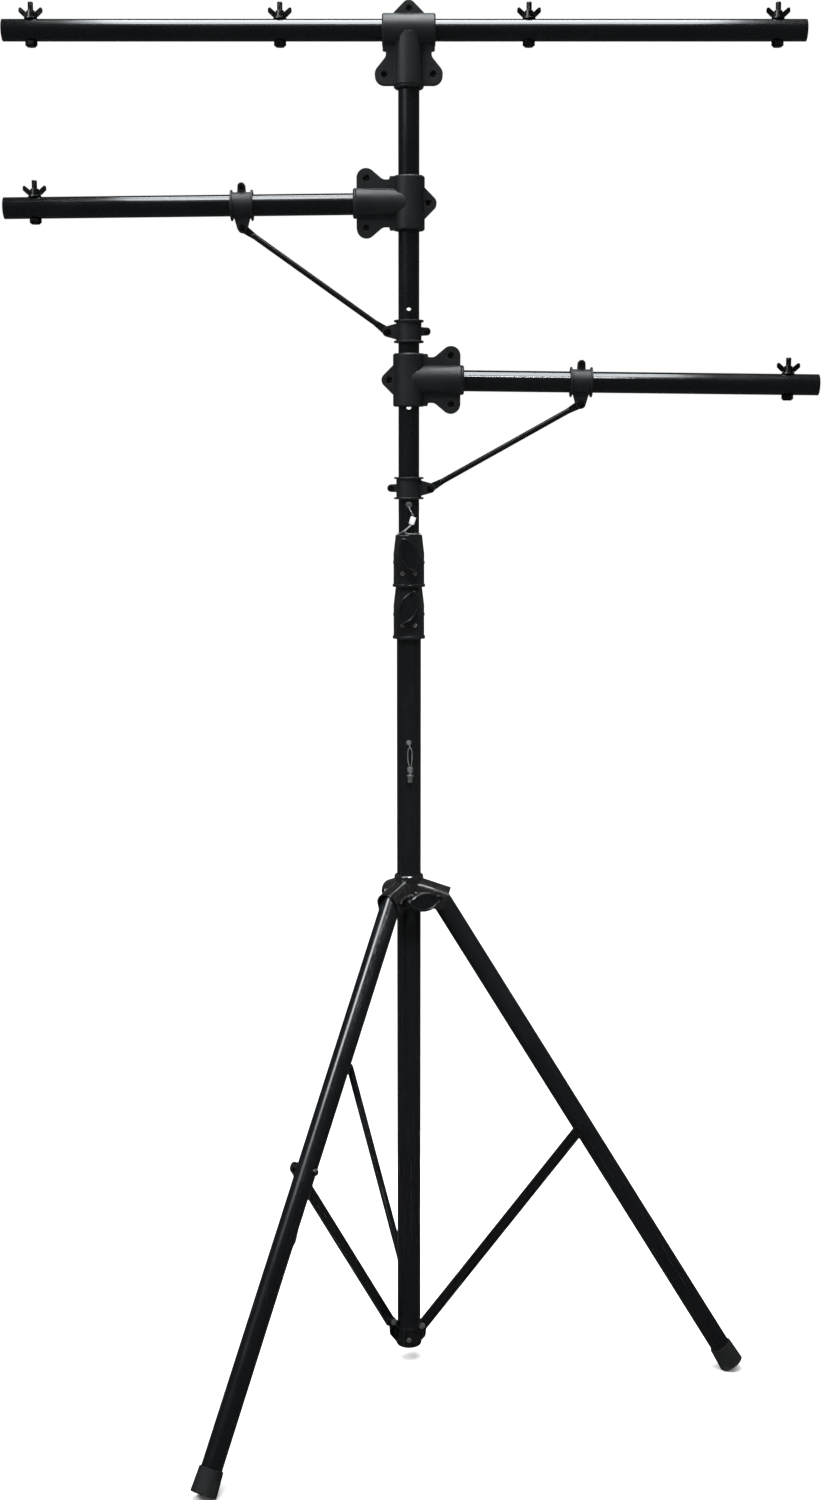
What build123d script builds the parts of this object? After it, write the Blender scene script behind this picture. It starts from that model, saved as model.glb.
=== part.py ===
from build123d import *
import math
import os

# A three-section telescoping lighting stand: tripod base, clamped mast, T bar on top and
# two braced side bars. Millimetres, Z up the mast, origin on the floor under the mast axis.
# The clamp knobs and the fitting screws face the front, -Y. Heights in this file are measured
# from a datum plane, and every piece is raised from it onto the floor when it is saved.

os.makedirs("parts", exist_ok=True)

# ---------------------------------------------------------------- driving dimensions

# Height of the datum plane above the floor that the feet stand on
datum_height = 9.0

# Mast: three round tubes, one inside the other
lower_radius = 19.0
middle_radius = 17.5
upper_radius = 16.0
tube_wall = 1.2
slide_gap = 0.06
fixed_gap = 0.02
lower_bottom = 21.0
lower_top = 1225.0
middle_bottom = 75.0
upper_bottom = 900.0

# Clamp collars on the tops of the lower and middle tubes
collar_length = 80.5
collar_bottoms = {"lower": 1187.8, "upper": 1268.5}
collar_radius = 24.0
collar_flange_radius = 25.4
collar_flange = 4.0
collar_bead_radius = 24.9
collar_bead = 3.0
collar_taper_height = 32.0
collar_taper_angle = 6.1
collar_seat_depth = 43.0
collar_boss_radius = 11.0
collar_boss_reach = 25.6
collar_screw_drop = 59.0
collar_screw_spread = 9.5
knob_drop = 30.5

# Wing knobs: a screw, a cone and a leaf-shaped wing
knob_screw_radius = 4.0
knob_cone_radius = 9.0
knob_cone_heights = {"lower": 4.5, "upper": 4.5, "hub": 17.0}
wing_half_length = 29.0
wing_half_width = 15.0
wing_thickness = 8.0
wing_rim = 2.6
wing_recess = 1.8
wing_angles = {"lower": 69.0, "upper": 110.0}

# Locking pins and the holes they go through
pin_radius = 3.6
pin_hole_radius = 3.7
pin_head_radius = 5.0
pin_head = 3.0
pin_stub_radius = 1.8
pin_stub = 3.5
upper_pin_height = 1395.5
upper_hole_pitch = 148.0
lower_pin_height = 1074.0
lower_hole_pitch = 150.0
spare_eye_height = 1025.0
eye_rivet_hole_radius = 2.05

# Tripod: azimuth of each leg, its slope, and the pivots of the folding linkage
leg_azimuths = {"a": 236.34, "b": 356.34, "c": 116.34}
leg_slope = math.radians(31.84)
leg_radius = 16.0
leg_pivot_radius = 48.3
leg_pivot_height = 775.1
leg_end = 912.8
leg_top = 6.0
leg_brace_distance = 435.8
foot_radius = 19.9
foot_length = 37.0
foot_taper = 2.6
foot_floor = 7.0
base_pivot_radius = 22.6
base_pivot_height = 59.8

# Base bracket: a cup round the mast's foot with one ear beside each brace
bracket_radius = 20.9
bracket_bottom = 18.5
bracket_top = 52.0
bracket_ear_side = 16.9
bracket_ear = 2.2
bracket_ear_outline = [(base_pivot_radius, base_pivot_height, 8), (23, 43, 6), (8, 24, 4), (6, 48, 4)]
bracket_rivet_height = 33.0
bracket_rivet_radius = 2.5

# Braces: pressed channels beside the legs, to the right when looking outward
brace_side = 19.3
brace_depth = 6.0
brace_wall = 1.8
brace_half_width = 8.4

# Hub: a sleeve round the mast with one hooded arm over each leg
hub_bottom = 767.0
hub_top = 811.5
hub_radius = 22.6
hub_bead_radius = 23.2
hub_bead = 9.0
hub_bore = 19.06
hood_half_width = 19.0
hood_wall = 2.0
hood_root_height = 808.4
hood_root_radius = 10.0
hood_end_radius = 67.0
hood_slope = math.radians(18.1)
hood_lip = (64.3, 777.5)
hood_corner = (60.0, 763.0)
hood_belly = (49.0, 757.5)
hood_heel = (38.0, 761.0)
hood_channel_start = 24.5
hub_knob_azimuth = 296.34
hub_knob_height = 776.0
hub_boss_radius = 8.5
hub_boss_reach = 33.0
pivot_bolt_radius = 3.0
pivot_hole_radius = 3.05

# T bar and side bars
bar_radius = 16.0
bar_wall = 1.5
t_bar_height = 2099.5
t_bar_half_length = 601.5
t_bar_centre = -6.5
t_bolt_pitch = 372.5
side_bar_length = 595.0
side_bar_droop = math.radians(0.65)
side_bar_heights = {"left": 1848.0, "right": 1584.9}
side_bar_starts = {"left": 18.4, "right": 34.1}
side_bolt_from_end = 47.0
outward = {"left": -1, "right": 1}

# T fittings: two moulded halves held by three screws
fitting_gap = 0.4
fitting_flange = 8.0
fitting_sleeve_radius = 24.2
fitting_sleeve_half = 40.0
fitting_stem_radius = 22.5
fitting_stem_length = 84.5
fitting_chamfer = 2.0
fitting_shoulder_half = 39.2
fitting_shoulder_drop = 28.5
fitting_neck = (34.4, -30.0)
fitting_waist = (34.2, -39.0)
fitting_waist_round = 10.0
lobe_spread = 36.5
lobe_drop = 64.5
lobe_radius = 14.5
rib_radius = 24.5
rib_top = 5.0
rib_length = 76.0
rib_top_half = 12.0
rib_foot_half = 20.8
lug_height = 31.6
lug_radius = 10.4
lug_half_width = 22.8
lug_screw = 30.0
fitting_screws = [(-lobe_spread, -lobe_drop), (lobe_spread, -lobe_drop), (0, lug_screw)]
fitting_head_radius = 5.0
fitting_head_seat = 4.4
fitting_hole_radius = 3.05

# Clamp rings and struts
ring_half_length = 17.0
ring_body_radius = 19.4
ring_flange_radius = 22.8
ring_flange = 3.0
ring_pivot_drop = 33.0
ring_ear_inner = 2.7
ring_ear_outer = 6.7
ring_lug_top = 33.4
ring_lug_half = 5.5
ring_slit = 1.2
ring_screw_inset = 6.0
ring_screw_radius = 2.5
bar_ring_distances = {"left": 253.0, "right": 264.5}
mast_ring_heights = {"left": 1658.0, "right": 1420.6}
strut_radius = 4.25
strut_pad_radius = 6.6
strut_pad_half = 2.5
strut_pad_length = 24.0

# Hanging bolts and wing nuts
stud_radius = 4.0
stud_hole_radius = 4.05
stud_reach = 40.5
nut_seat = 16.2
nut_flange_radius = 10.0
nut_flange = 2.2
nut_hub_radius = 7.6
nut_hub_height = 9.5
nut_span = 17.8
nut_tip_height = 32.5
nut_wing = 3.4

# Wire lanyards
wire_diameter = 1.6
ferrule_wall = 1.3

UP = Vector(0, 0, 1)
FRONT = Vector(0, -1, 0)


# ---------------------------------------------------------------- shared shapes

def save(piece, name):
    """Raise a finished piece onto the floor, label it and write it as one STEP file."""
    raised = Pos(0, 0, datum_height) * piece.part
    raised.label = name
    export_step(raised, f"parts/{name}.step")


def rod(start, direction, radius, length, mode=Mode.ADD, taper=0):
    """Add or cut a round bar in the part being built."""
    with BuildSketch(Plane(origin=start, z_dir=direction)) as section:
        Circle(radius)
    extrude(section.sketch, amount=length, taper=taper, mode=mode)


def chamfered_rod(start, direction, radius, length):
    """Add a round bar whose far end is chamfered."""
    straight = length - fitting_chamfer
    rod(start, direction, radius, straight)
    rod(start + direction * straight, direction, radius, fitting_chamfer, taper=40)


def hexagon(start, direction, radius, length, mode=Mode.ADD):
    """Add or cut a six-sided bar in the part being built."""
    with BuildSketch(Plane(origin=start, z_dir=direction)) as section:
        RegularPolygon(radius, 6)
    extrude(section.sketch, amount=length, mode=mode)


def plate(plane, circles, thickness, mode=Mode.ADD):
    """Add or cut a flat plate whose outline wraps a few circles (x, y, radius)."""
    with BuildSketch(plane) as section:
        for x, y, radius in circles:
            with Locations((x, y)):
                Circle(radius)
        make_hull(section.sketch_local.edges(), mode=Mode.REPLACE)
    extrude(section.sketch, amount=thickness, mode=mode)


def drill_across(height, radius, reach):
    """Cut a hole through the mast from front to back at one height."""
    rod(Vector(0, -reach, height), -FRONT, radius, 2 * reach, Mode.SUBTRACT)


def mast_tube(radius, bottom, top, hole_heights):
    with BuildPart() as tube:
        rod(UP * bottom, UP, radius, top - bottom)
        rod(UP * bottom, UP, radius - tube_wall, top - bottom, Mode.SUBTRACT)
        for height in hole_heights:
            drill_across(height, pin_hole_radius, radius + 1)
    return tube


def guide_plug(radius, bottom, wall):
    """End plug of a sliding tube: its rim guides the tube inside the one around it."""
    rim = 6.0
    depth = 22.0
    bore = 9.0
    with BuildPart() as plug:
        rod(UP * (bottom - rim), UP, wall - slide_gap, rim - fixed_gap)
        rod(UP * (bottom - rim), UP, radius - tube_wall - fixed_gap, rim + depth)
        rod(UP * (bottom - rim), UP, bore, rim + depth, Mode.SUBTRACT)
    return plug


def cord_tube(name, route):
    """Sweep the wire along straight runs joined by arcs, and print the arcs' radii."""
    points = [Vector(*point) for point in route]
    runs = [(after - before) for before, after in zip(points, points[1:])]
    radii = []
    for run, following in zip(runs, runs[1:]):
        half_turn = math.radians(run.get_angle(following)) / 2
        shorter = min(run.length, following.length)
        radii.append(0.45 * shorter / math.tan(half_turn))
    with BuildPart() as cord:
        with BuildLine() as path:
            FilletPolyline(*points, radius=radii)
        wire = path.wire()
        with BuildSketch(Plane(origin=wire @ 0, z_dir=wire % 0)):
            Circle(wire_diameter / 2)
        sweep(path=wire)
    expected = math.pi * wire_diameter**2 / 4 * wire.length
    print(name, "length", round(wire.length, 1), "radii", [round(r, 1) for r in radii])
    print(name, "volume over section times length", round(cord.part.volume / expected, 4))
    return cord


# ---------------------------------------------------------------- mast

def clamp_collar(bottom, outer_tube, inner_tube):
    """Collar fixed on the top of one tube that guides and clamps the tube inside it."""
    top = bottom + collar_length
    seat = top - collar_seat_depth
    taper_start = top - collar_taper_height
    with BuildPart() as collar:
        rod(UP * bottom, UP, collar_radius, taper_start - bottom)
        rod(UP * bottom, UP, collar_flange_radius, collar_flange)
        rod(UP * (seat - collar_bead / 2), UP, collar_bead_radius, collar_bead)
        with BuildSketch(Plane.XY.offset(taper_start)):
            RegularPolygon(collar_radius + 0.3, 8)
        extrude(amount=collar_taper_height, taper=collar_taper_angle)
        fillet(collar.faces().sort_by(Axis.Z)[-1].edges(), 1.0)
        rod(UP * (top - knob_drop), FRONT, collar_boss_radius, collar_boss_reach, taper=3)
        rod(UP * bottom, UP, outer_tube + fixed_gap, seat - bottom, Mode.SUBTRACT)
        rod(UP * bottom, UP, inner_tube + slide_gap, collar_length, Mode.SUBTRACT)
        rod(UP * (top - knob_drop), FRONT, knob_screw_radius + 0.03, 60, Mode.SUBTRACT)
        for side in (-1, 1):
            start = Vector(side * collar_screw_spread, 0, top - collar_screw_drop)
            rod(start, FRONT, 2.05, 60, Mode.SUBTRACT)
    return collar


def collar_screws(bottom, outer_tube):
    """Two pan-head screws in the front of a collar."""
    height = bottom + collar_length - collar_screw_drop
    seat = math.sqrt(collar_radius**2 - collar_screw_spread**2)
    tip = math.sqrt(outer_tube**2 - collar_screw_spread**2) + 1.6
    with BuildPart() as screws:
        for side in (-1, 1):
            across = Vector(side * collar_screw_spread, 0, height)
            rod(across + FRONT * tip, FRONT, 2.0, seat - tip + 2.5)
            rod(across + FRONT * (seat + 1.6), FRONT, 3.6, 2.0, taper=20)
            rod(across + FRONT * (seat + 2.8), FRONT, 1.3, 3.0, Mode.SUBTRACT)
    return screws


def wing_knob(azimuth, height, boss, cone, tip, wing_angle):
    """Clamp knob whose screw points at the mast axis."""
    angle = math.radians(azimuth)
    tilt = math.radians(wing_angle)
    away = Vector(math.cos(angle), math.sin(angle), 0)
    level = Vector(-math.sin(angle), math.cos(angle), 0)
    along_wing = level * math.cos(tilt) + UP * math.sin(tilt)
    wing_start = UP * height + away * (boss + cone)
    wing_plane = Plane(origin=wing_start, x_dir=along_wing, z_dir=away)
    with BuildPart() as knob:
        with BuildSketch(wing_plane):
            with BuildLine():
                ThreePointArc((-wing_half_length, 0), (0, wing_half_width), (wing_half_length, 0))
                ThreePointArc((-wing_half_length, 0), (0, -wing_half_width), (wing_half_length, 0))
            wing = make_face()
            fillet(wing.vertices(), 4.5)
        extrude(amount=wing_thickness)
        fillet(knob.edges(), 1.6)
        with BuildSketch(wing_plane.offset(wing_thickness)):
            add(wing)
            offset(amount=-wing_rim, mode=Mode.REPLACE)
        extrude(amount=-wing_recess, mode=Mode.SUBTRACT, taper=25)
        rod(UP * height + away * (boss + 0.4), away, knob_cone_radius, cone + 1.0)
        rod(UP * height + away * tip, away, knob_screw_radius, boss - tip + 2)
    return knob


def pin_piece(head_seat, away, shank):
    """Locking pin: round head, shank into the tube, and a stub that holds the wire."""
    with BuildPart() as pin:
        rod(head_seat, away, pin_head_radius, pin_head)
        fillet(pin.edges(), 0.7)
        rod(head_seat - away * shank, away, pin_radius, shank + 1)
        rod(head_seat, away, pin_stub_radius, pin_head + pin_stub)
    return pin


def ferrule(start, end, half_width):
    """Oval crimp sleeve with the wire's ends inside it."""
    axis = end - start
    with BuildPart() as sleeve:
        with BuildSketch(Plane(origin=start, x_dir=axis.cross(FRONT), z_dir=axis)):
            SlotCenterToCenter(2 * half_width - wire_diameter, wire_diameter + 2 * ferrule_wall)
        extrude(amount=axis.length)
        fillet(sleeve.edges(), 0.6)
    return sleeve


lower_tube = mast_tube(lower_radius, lower_bottom, lower_top, [lower_pin_height])
with lower_tube:
    rod(UP * bracket_rivet_height, FRONT, bracket_rivet_radius + 0.05, 30, Mode.SUBTRACT)
    rod(UP * spare_eye_height, FRONT, eye_rivet_hole_radius, 30, Mode.SUBTRACT)
save(lower_tube, "lower_tube")

middle_top = collar_bottoms["upper"] + collar_length - collar_seat_depth
middle_holes = [lower_pin_height - step * lower_hole_pitch for step in range(1, 7)]
save(mast_tube(middle_radius, middle_bottom, middle_top, middle_holes), "middle_tube")
save(guide_plug(middle_radius, middle_bottom, lower_radius - tube_wall), "middle_tube_plug")

upper_top = t_bar_height - bar_radius - 2.5
upper_holes = [upper_pin_height + step * upper_hole_pitch for step in range(3)]
save(mast_tube(upper_radius, upper_bottom, upper_top, upper_holes), "upper_tube")
save(guide_plug(upper_radius, upper_bottom, middle_radius - tube_wall), "upper_tube_plug")

inner_tubes = {"lower": middle_radius, "upper": upper_radius}
outer_tubes = {"lower": lower_radius, "upper": middle_radius}
for level, bottom in collar_bottoms.items():
    save(clamp_collar(bottom, outer_tubes[level], inner_tubes[level]), f"{level}_collar")
    save(collar_screws(bottom, outer_tubes[level]), f"{level}_collar_screws")
    knob_height = bottom + collar_length - knob_drop
    tip = inner_tubes[level] + 0.1
    cone = knob_cone_heights[level]
    knob = wing_knob(270, knob_height, collar_boss_reach, cone, tip, wing_angles[level])
    save(knob, f"{level}_knob")

# ---------------------------------------------------------------- locking pins and lanyards

save(pin_piece(Vector(0, -17, upper_pin_height), FRONT, 11.0), "upper_pin")

# The upper wire runs from the pin to the ferrule, round the tube on top of the collar, and back
loop_radius = 18.4
loop_height = 1350.6
loop_angles = [math.radians(angle) for angle in range(213, -58, -30)]
loop = [(loop_radius * math.cos(a), loop_radius * math.sin(a), loop_height) for a in loop_angles]
upper_route = [
    (0.0, -22.0, 1393.6),
    (0.7, -22.0, 1389.6),
    (3.2, -21.7, 1384.8),
    (6.2, -21.0, 1380.2),
    (7.1, -20.3, 1375.0),
    (5.4, -19.9, 1369.6),
    (2.8, -19.5, 1364.6),
    (-1.4, -19.0, 1360.4),
    (-6.0, -18.3, 1356.9),
    (-10.8, -15.8, 1353.2),
    *loop,
    (2.6, -19.0, 1350.7),
    (-3.4, -20.6, 1351.0),
    (-6.6, -21.3, 1353.3),
    (-4.6, -21.6, 1356.9),
    (-0.4, -21.9, 1360.5),
    (4.4, -22.2, 1364.8),
]
save(cord_tube("upper_lanyard", upper_route), "upper_lanyard")
save(ferrule(Vector(7.3, -20.9, 1376.6), Vector(3.9, -20.6, 1365.4), 3.0), "upper_ferrule")

# The spare pin hangs on a wire loop from an eye riveted to the lower tube
eye_x = 1.5
eye_reach = -23.4
eye_ring_height = 1019.0
with BuildPart() as lanyard_eye:
    rod(UP * spare_eye_height + FRONT * 17.9, FRONT, 2.0, 2.6)
    rod(UP * spare_eye_height + FRONT * 19.1, FRONT, 4.4, 2.0, taper=15)
    rod(Vector(0.6, -19.6, spare_eye_height - 1.6), FRONT, 1.7, 4.6)
    ring_plane = Plane(origin=(eye_x, eye_reach, eye_ring_height), z_dir=(1, 0, 0))
    with Locations(ring_plane):
        Torus(3.2, 0.8)
save(lanyard_eye, "lanyard_eye")

spare_route = [
    (1.0, -25.0, 987.0),
    (-0.4, -24.8, 991.2),
    (-1.7, -24.5, 998.0),
    (-1.9, -24.1, 1005.2),
    (-1.5, -23.7, 1012.4),
    (0.2, -23.4, 1018.2),
    (2.8, -23.4, 1018.3),
    (4.6, -23.7, 1012.8),
    (5.1, -24.1, 1005.4),
    (4.8, -24.5, 998.2),
    (4.1, -24.8, 991.4),
    (3.0, -25.0, 987.0),
]
save(cord_tube("spare_lanyard", spare_route), "spare_lanyard")
save(ferrule(Vector(2.0, -25.0, 986.8), Vector(2.0, -25.0, 978.8), 2.9), "spare_ferrule")
save(pin_piece(Vector(2.0, -25.1, 972.2), UP, 9.0), "spare_pin")

# ---------------------------------------------------------------- tripod

foot_end_height = leg_pivot_height - leg_end * math.cos(leg_slope)
brace_top_radius = leg_pivot_radius + leg_brace_distance * math.sin(leg_slope)
brace_top_height = leg_pivot_height - leg_brace_distance * math.cos(leg_slope)


def leg_sides(azimuth):
    """Outward and rightward (looking outward) directions of one leg."""
    angle = math.radians(azimuth)
    out = Vector(math.cos(angle), math.sin(angle), 0)
    right = Vector(math.sin(angle), -math.cos(angle), 0)
    return out, right


def down_leg(out):
    """Direction from a leg's pivot to its foot."""
    return out * math.sin(leg_slope) - UP * math.cos(leg_slope)


def side_plane(azimuth, lateral):
    """Upright plane beside a leg: x runs outward and y runs up."""
    out, right = leg_sides(azimuth)
    return Plane(origin=right * lateral, x_dir=out, z_dir=right)


def leg_tube(azimuth):
    out, right = leg_sides(azimuth)
    down = down_leg(out)
    pivot = out * leg_pivot_radius + UP * leg_pivot_height
    bolt = pivot + down * leg_brace_distance
    length = leg_top + leg_end - foot_floor
    with BuildPart() as tube:
        rod(pivot - down * leg_top, down, leg_radius, length)
        rod(pivot - down * leg_top, down, leg_radius - tube_wall, length, Mode.SUBTRACT)
        rod(pivot - right * 30, right, pivot_hole_radius, 60, Mode.SUBTRACT)
        rod(bolt - right * 30, right, pivot_bolt_radius + fixed_gap, 60, Mode.SUBTRACT)
    return tube


def foot(azimuth):
    """Rubber cap on the leg's end, with a small flat sole where it meets the floor."""
    out = leg_sides(azimuth)[0]
    down = down_leg(out)
    end = out * leg_pivot_radius + UP * leg_pivot_height + down * leg_end
    with BuildPart() as cap:
        rod(end, -down, foot_radius, foot_length, taper=foot_taper)
        fillet(cap.faces().sort_by(Axis.Z)[0].edges(), 1.5)
        fillet(cap.faces().sort_by(Axis.Z)[-1].edges(), 1.0)
        bore_start = end - down * foot_floor
        rod(bore_start, -down, leg_radius + fixed_gap, foot_length, Mode.SUBTRACT)
        split(bisect_by=Plane.XY.offset(-datum_height), keep=Keep.TOP)
    return cap


def leg_bolt(azimuth):
    """Bolt across the leg with a spacer on the brace's side."""
    out, right = leg_sides(azimuth)
    centre = out * brace_top_radius + UP * brace_top_height
    with BuildPart() as bolt:
        rod(centre - right * 17.0, right, pivot_bolt_radius, 17.0 + brace_side - 0.2)
        rod(centre + right * (leg_radius + 0.1), right, 5.5, brace_side - 0.25 - leg_radius)
        rod(centre - right * (leg_radius + 0.1), -right, 6.2, 3.6, taper=25)
    return bolt


def brace(azimuth):
    """Pressed channel with rounded ends, a pivot hole below and a rivet head above."""
    out, right = leg_sides(azimuth)
    low = (base_pivot_radius, base_pivot_height)
    high = (brace_top_radius, brace_top_height)
    inner = brace_half_width - brace_wall
    with BuildPart() as strip:
        plate(
            side_plane(azimuth, brace_side),
            [(*low, brace_half_width), (*high, brace_half_width)],
            brace_depth,
        )
        plate(
            side_plane(azimuth, brace_side + brace_wall),
            [(*low, inner), (*high, inner)],
            brace_depth,
            Mode.SUBTRACT,
        )
        head = out * high[0] + UP * high[1] + right * (brace_side + 0.5)
        rod(head, right, 5.4, brace_depth, taper=8)
        hole = out * low[0] + UP * low[1]
        rod(hole, right, pivot_hole_radius, 40, Mode.SUBTRACT)
    return strip


leg_pairs = [leg_sides(azimuth) for azimuth in leg_azimuths.values()]

for name, azimuth in leg_azimuths.items():
    save(leg_tube(azimuth), f"leg_{name}")
    save(foot(azimuth), f"foot_{name}")
    save(leg_bolt(azimuth), f"leg_bolt_{name}")
    save(brace(azimuth), f"brace_{name}")

with BuildPart() as base_bracket:
    rod(UP * bracket_bottom, UP, bracket_radius, bracket_top - bracket_bottom)
    fillet(base_bracket.faces().sort_by(Axis.Z)[0].edges(), 3.0)
    for azimuth in leg_azimuths.values():
        plate(side_plane(azimuth, bracket_ear_side), bracket_ear_outline, bracket_ear)
    rod(UP * lower_bottom, UP, lower_radius + fixed_gap, 60, Mode.SUBTRACT)
    for out, right in leg_pairs:
        ear_hole = out * base_pivot_radius + UP * base_pivot_height
        rod(ear_hole, right, pivot_bolt_radius + fixed_gap, 30, Mode.SUBTRACT)
    rod(UP * bracket_rivet_height, FRONT, bracket_rivet_radius + 0.05, 30, Mode.SUBTRACT)
save(base_bracket, "base_bracket")

with BuildPart() as base_bolts:
    for out, right in leg_pairs:
        centre = out * base_pivot_radius + UP * base_pivot_height
        rod(centre + right * 12.4, right, pivot_bolt_radius, 10.0)
        hexagon(centre + right * 12.6, right, 5.2, 4.2)
        rod(centre + right * (brace_side + brace_wall + 0.1), right, 5.4, 3.4, taper=15)
    rivet = UP * bracket_rivet_height
    rod(rivet + FRONT * 16.0, FRONT, bracket_rivet_radius, 6.0)
    rod(rivet + FRONT * (bracket_radius + 0.05), FRONT, 4.0, 1.9, taper=20)
save(base_bolts, "base_bolts")

# Hub: each hood is an arched channel cut off at its lower edge by a side outline
hub_knob_direction = leg_sides(hub_knob_azimuth)[0]


def arch(azimuth, start, half_width, drop, length, mode):
    """Arched bar that runs out and down over one leg, apex on the hood's top line."""
    out, right = leg_sides(azimuth)
    run = out * math.cos(hood_slope) - UP * math.sin(hood_slope)
    rise = out * math.sin(hood_slope) + UP * math.cos(hood_slope)
    root = out * hood_root_radius + UP * hood_root_height
    apex = root + run * start - rise * drop
    with BuildSketch(Plane(origin=apex, x_dir=right, z_dir=run)) as section:
        with Locations((0, half_width)):
            Circle(half_width)
        with Locations((0, half_width + 35)):
            Rectangle(2 * half_width, 70)
    extrude(section.sketch, amount=length, mode=mode)


def hood(azimuth):
    """One hooded arm before it is joined to the sleeve."""
    run_length = (hood_end_radius - hood_root_radius) / math.cos(hood_slope)
    with BuildPart() as shell:
        arch(azimuth, 0, hood_half_width, 0, run_length, Mode.ADD)
        with BuildSketch(side_plane(azimuth, -hood_half_width - 1)) as outline:
            with BuildLine():
                Polyline(
                    (6, hub_bottom),
                    (6, hood_root_height + 20),
                    (hood_end_radius + 3, hood_root_height + 20),
                    (hood_end_radius + 3, hood_lip[1] + 10.5),
                    hood_lip,
                    hood_corner,
                )
                ThreePointArc(hood_corner, hood_belly, hood_heel)
                Line(hood_heel, (6, hub_bottom))
            make_face()
        extrude(outline.sketch, amount=2 * hood_half_width + 2, mode=Mode.INTERSECT)
        channel_start = hood_channel_start - hood_root_radius
        arch(azimuth, channel_start, hood_half_width - hood_wall, hood_wall, 80, Mode.SUBTRACT)
    return shell


with BuildPart() as leg_hub:
    for azimuth in leg_azimuths.values():
        add(hood(azimuth).part)
    rod(UP * hub_bottom, UP, hub_radius, hub_top - hub_bottom)
    rod(UP * (hub_top - hub_bead), UP, hub_bead_radius, hub_bead)
    fillet(leg_hub.faces().sort_by(Axis.Z)[-1].edges(), 3.5)
    rod(UP * hub_knob_height, hub_knob_direction, hub_boss_radius, hub_boss_reach)
    for out, right in leg_pairs:
        pivot = out * leg_pivot_radius + UP * leg_pivot_height
        rod(pivot - right * 30, right, pivot_bolt_radius + fixed_gap, 60, Mode.SUBTRACT)
    rod(UP * (hub_bottom - 20), UP, hub_bore, 80, Mode.SUBTRACT)
    rod(UP * hub_knob_height, hub_knob_direction, knob_screw_radius + 0.03, 60, Mode.SUBTRACT)
save(leg_hub, "leg_hub")

with BuildPart() as hub_pivot_bolts:
    for out, right in leg_pairs:
        pivot = out * leg_pivot_radius + UP * leg_pivot_height
        rod(pivot - right * 22.5, right, pivot_bolt_radius, 44.0)
        hexagon(pivot - right * (hood_half_width + 0.05), -right, 5.6, 3.8)
        rod(pivot + right * (hood_half_width + 0.05), right, 5.8, 3.2, taper=20)
save(hub_pivot_bolts, "hub_pivot_bolts")

cone = knob_cone_heights["hub"]
tip = lower_radius + 0.1
hub_knob = wing_knob(hub_knob_azimuth, hub_knob_height, hub_boss_reach, cone, tip, 0)
save(hub_knob, "hub_knob")

# ---------------------------------------------------------------- T fittings

top_front = Plane(origin=UP * t_bar_height, x_dir=(1, 0, 0), z_dir=FRONT)


def side_fitting_plane(side):
    """Front plane of a side fitting: x along the mast, -y along the bar."""
    return Plane(origin=UP * side_bar_heights[side], x_dir=(0, 0, outward[side]), z_dir=FRONT)


def bar_plane(side):
    """Frame of a drooping side bar: x outward along it, z up."""
    sign = outward[side]
    along = Vector(sign * math.cos(side_bar_droop), 0, -math.sin(side_bar_droop))
    above = Vector(sign * math.sin(side_bar_droop), 0, math.cos(side_bar_droop))
    return Plane(origin=UP * side_bar_heights[side], x_dir=along, z_dir=above)


def turned(plane):
    """The same fitting plane seen from behind."""
    return Plane(origin=plane.origin, x_dir=-plane.x_dir, z_dir=-plane.z_dir)


def stem_rib(plane):
    """Rounded rib on the stem's front that widens away from the sleeve."""
    with BuildPart() as rib:
        chamfered_rod(plane.origin, -plane.y_dir, rib_radius, rib_top + rib_length)
        with BuildSketch(plane) as outline:
            Polygon(
                (-rib_top_half, -rib_top),
                (rib_top_half, -rib_top),
                (rib_foot_half, -rib_top - rib_length),
                (-rib_foot_half, -rib_top - rib_length),
                align=None,
            )
        extrude(outline.sketch, amount=rib_radius + 1, mode=Mode.INTERSECT)
    return rib


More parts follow.
